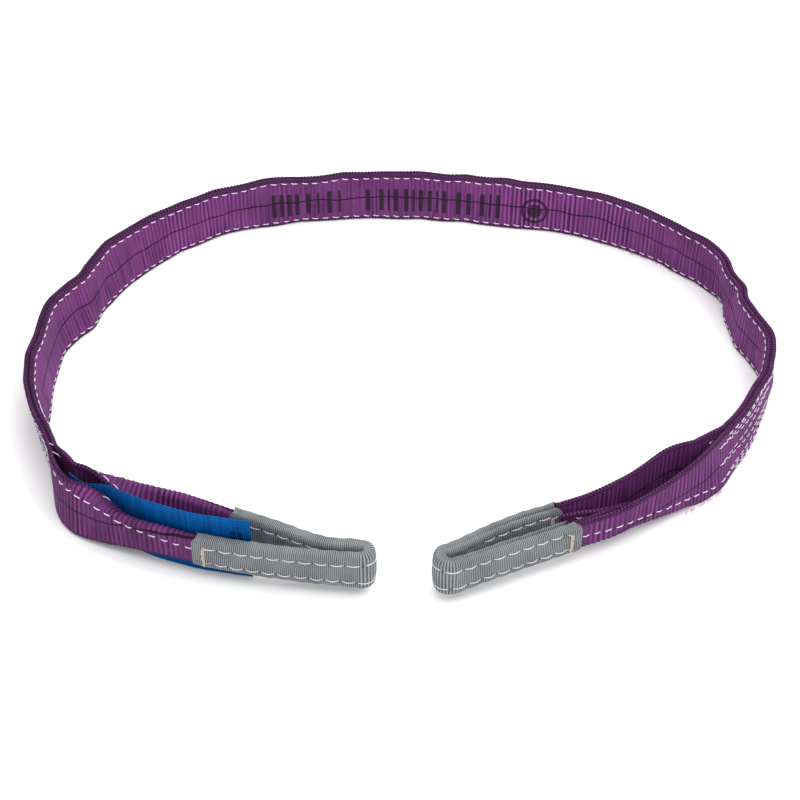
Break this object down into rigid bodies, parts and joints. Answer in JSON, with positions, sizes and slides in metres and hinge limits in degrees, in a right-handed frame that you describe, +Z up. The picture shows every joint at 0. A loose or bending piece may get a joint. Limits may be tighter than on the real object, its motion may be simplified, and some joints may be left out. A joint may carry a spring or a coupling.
{
  "type": "flat web sling",
  "caption": "Flat duplex web lifting sling with a folded, sleeved eye at each end and a sewn-in label, standing on edge in a horseshoe.",
  "frame": {"origin": "middle of the footprint, on the floor that the lower web edge stands on", "axes": "+X to the right along the longest extent, +Y towards the back of the horseshoe, +Z up across the width of the web"},
  "size_m": [0.3887, 0.3246, 0.036],
  "materials": {
    "web": "violet woven polyester webbing, satin ribs",
    "sleeve": "grey woven wear sleeve, fine ribs",
    "thread": "off-white sewing thread",
    "label": "blue coated label cloth"
  },
  "bodies": {
    "crown": {"crown_left_outer_ply": "web", "crown_left_inner_ply": "web", "crown_right_outer_ply": "web", "crown_right_inner_ply": "web", "crown_edge_seams": "thread"},
    "left_span": {"left_span_outer_ply": "web", "left_span_inner_ply": "web", "left_edge_seams": "thread", "left_splice_seams": "thread"},
    "left_outer_root": {"left_outer_root_web": "web", "left_outer_root_seam": "thread"},
    "left_inner_root": {"left_inner_root_web": "web", "left_inner_root_seam": "thread"},
    "left_outer_tip": {"left_outer_tip_web": "web", "left_outer_tip_sleeve": "sleeve", "left_outer_tip_sleeve_seams": "thread"},
    "left_inner_tip": {"left_inner_tip_web": "web", "left_inner_tip_sleeve": "sleeve", "left_inner_tip_sleeve_seams": "thread"},
    "right_span": {"right_span_outer_ply": "web", "right_span_inner_ply": "web", "right_edge_seams": "thread", "right_splice_seams": "thread"},
    "right_outer_root": {"right_outer_root_web": "web", "right_outer_root_seam": "thread"},
    "right_inner_root": {"right_inner_root_web": "web", "right_inner_root_seam": "thread"},
    "right_outer_tip": {"right_outer_tip_web": "web", "right_outer_tip_sleeve": "sleeve", "right_outer_tip_sleeve_seams": "thread"},
    "right_inner_tip": {"right_inner_tip_web": "web", "right_inner_tip_sleeve": "sleeve", "right_inner_tip_sleeve_seams": "thread"},
    "label": {"label_front": "label", "label_back": "label", "label_seam": "thread"}
  },
  "joints": [
    {"name": "left_bend", "type": "hinge", "parent": "crown", "child": "left_span", "pos_m": [-0.18471, 0.04154, 0.015], "axis": [0, 0, -1], "range_deg": [-3, 20]},
    {"name": "left_eye_open", "type": "hinge", "parent": "left_span", "child": "left_outer_root", "pos_m": [-0.16738, -0.10558, 0.015], "axis": [0, 0, -1], "range_deg": [0, 12]},
    {"name": "left_outer_knee", "type": "hinge", "parent": "left_outer_root", "child": "left_outer_tip", "pos_m": [-0.09342, -0.13746, 0.015], "axis": [0, 0, 1], "range_deg": [0, 24]},
    {"name": "left_tip_fold", "type": "hinge", "parent": "left_outer_tip", "child": "left_inner_tip", "pos_m": [-0.01423, -0.15212, 0.015], "axis": [0, 0, -1], "range_deg": [0, 24]},
    {"name": "left_inner_throat", "type": "hinge", "parent": "left_span", "child": "left_inner_root", "pos_m": [-0.16738, -0.10558, 0.015], "axis": [0, 0, 1], "range_deg": [0, 12]},
    {"name": "right_bend", "type": "hinge", "parent": "crown", "child": "right_span", "pos_m": [0.18274, 0.05923, 0.015], "axis": [0, 0, 1], "range_deg": [-3, 20]},
    {"name": "right_eye_open", "type": "hinge", "parent": "right_span", "child": "right_outer_root", "pos_m": [0.15022, -0.08797, 0.015], "axis": [0, 0, 1], "range_deg": [0, 12]},
    {"name": "right_outer_knee", "type": "hinge", "parent": "right_outer_root", "child": "right_outer_tip", "pos_m": [0.08361, -0.12709, 0.015], "axis": [0, 0, -1], "range_deg": [0, 24]},
    {"name": "right_tip_fold", "type": "hinge", "parent": "right_outer_tip", "child": "right_inner_tip", "pos_m": [0.01251, -0.15729, 0.015], "axis": [0, 0, 1], "range_deg": [0, 24]},
    {"name": "right_inner_throat", "type": "hinge", "parent": "right_span", "child": "right_inner_root", "pos_m": [0.15022, -0.08797, 0.015], "axis": [0, 0, -1], "range_deg": [0, 12]},
    {"name": "label_swing", "type": "hinge", "parent": "left_span", "child": "label", "pos_m": [-0.16258, -0.10532, 0.018], "axis": [0, 0, 1], "range_deg": [0, 4]}
  ],
  "couplings": [
    {"joint": "left_outer_knee", "follows": "left_eye_open", "ratio": 2},
    {"joint": "left_tip_fold", "follows": "left_eye_open", "ratio": 2},
    {"joint": "left_inner_throat", "follows": "left_eye_open", "ratio": 1},
    {"joint": "right_outer_knee", "follows": "right_eye_open", "ratio": 2},
    {"joint": "right_tip_fold", "follows": "right_eye_open", "ratio": 2},
    {"joint": "right_inner_throat", "follows": "right_eye_open", "ratio": 1}
  ]
}
